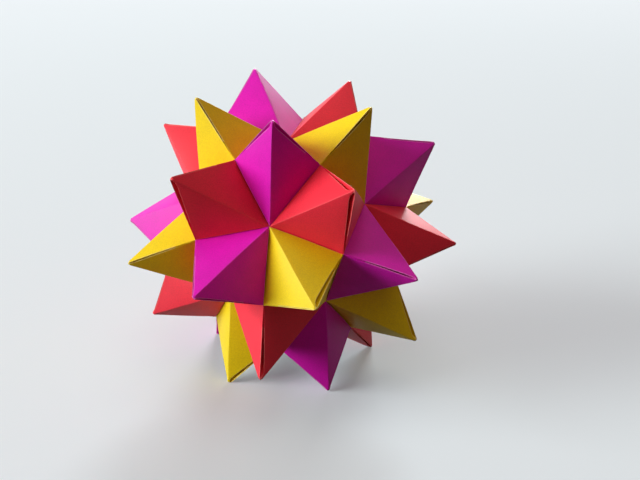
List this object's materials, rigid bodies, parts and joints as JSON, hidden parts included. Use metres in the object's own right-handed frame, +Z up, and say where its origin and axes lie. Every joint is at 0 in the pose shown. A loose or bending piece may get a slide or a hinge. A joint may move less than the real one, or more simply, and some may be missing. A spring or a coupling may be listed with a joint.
{
  "type": "folded paper ball",
  "caption": "Modular folded paper ball: spiked units in magenta, red and yellow meet in deep star craters, with a slit along each ridge and tucked tabs.",
  "frame": {"origin": "on the floor, under the middle of the ball as it stands on the five tips around its lowest crater", "axes": "+Z up along a five-fold axis through two opposite craters; the crater of the upper ring that faces the picture's camera faces -Y"},
  "size_m": [0.1228, 0.1168, 0.1047],
  "materials": {
    "magenta_paper": "matte magenta craft paper, dyed through, with a fine fibre grain",
    "red_paper": "matte red craft paper, dyed through, with a fine fibre grain",
    "yellow_paper": "matte yellow craft paper, dyed through, with a fine fibre grain"
  },
  "bodies": {
    "root": {"magenta_unit_01": "magenta_paper", "magenta_unit_02": "magenta_paper", "magenta_unit_03": "magenta_paper", "magenta_unit_04": "magenta_paper", "magenta_unit_05": "magenta_paper", "magenta_unit_06": "magenta_paper", "magenta_unit_07": "magenta_paper", "magenta_unit_08": "magenta_paper", "magenta_unit_09": "magenta_paper", "magenta_unit_10": "magenta_paper", "red_unit_01": "red_paper", "red_unit_02": "red_paper", "red_unit_03": "red_paper", "red_unit_04": "red_paper", "red_unit_05": "red_paper", "red_unit_06": "red_paper", "red_unit_07": "red_paper", "red_unit_08": "red_paper", "red_unit_09": "red_paper", "red_unit_10": "red_paper", "yellow_unit_01": "yellow_paper", "yellow_unit_02": "yellow_paper", "yellow_unit_03": "yellow_paper", "yellow_unit_04": "yellow_paper", "yellow_unit_05": "yellow_paper", "yellow_unit_06": "yellow_paper", "yellow_unit_07": "yellow_paper", "yellow_unit_08": "yellow_paper", "yellow_unit_09": "yellow_paper", "yellow_unit_10": "yellow_paper"}
  },
  "joints": []
}
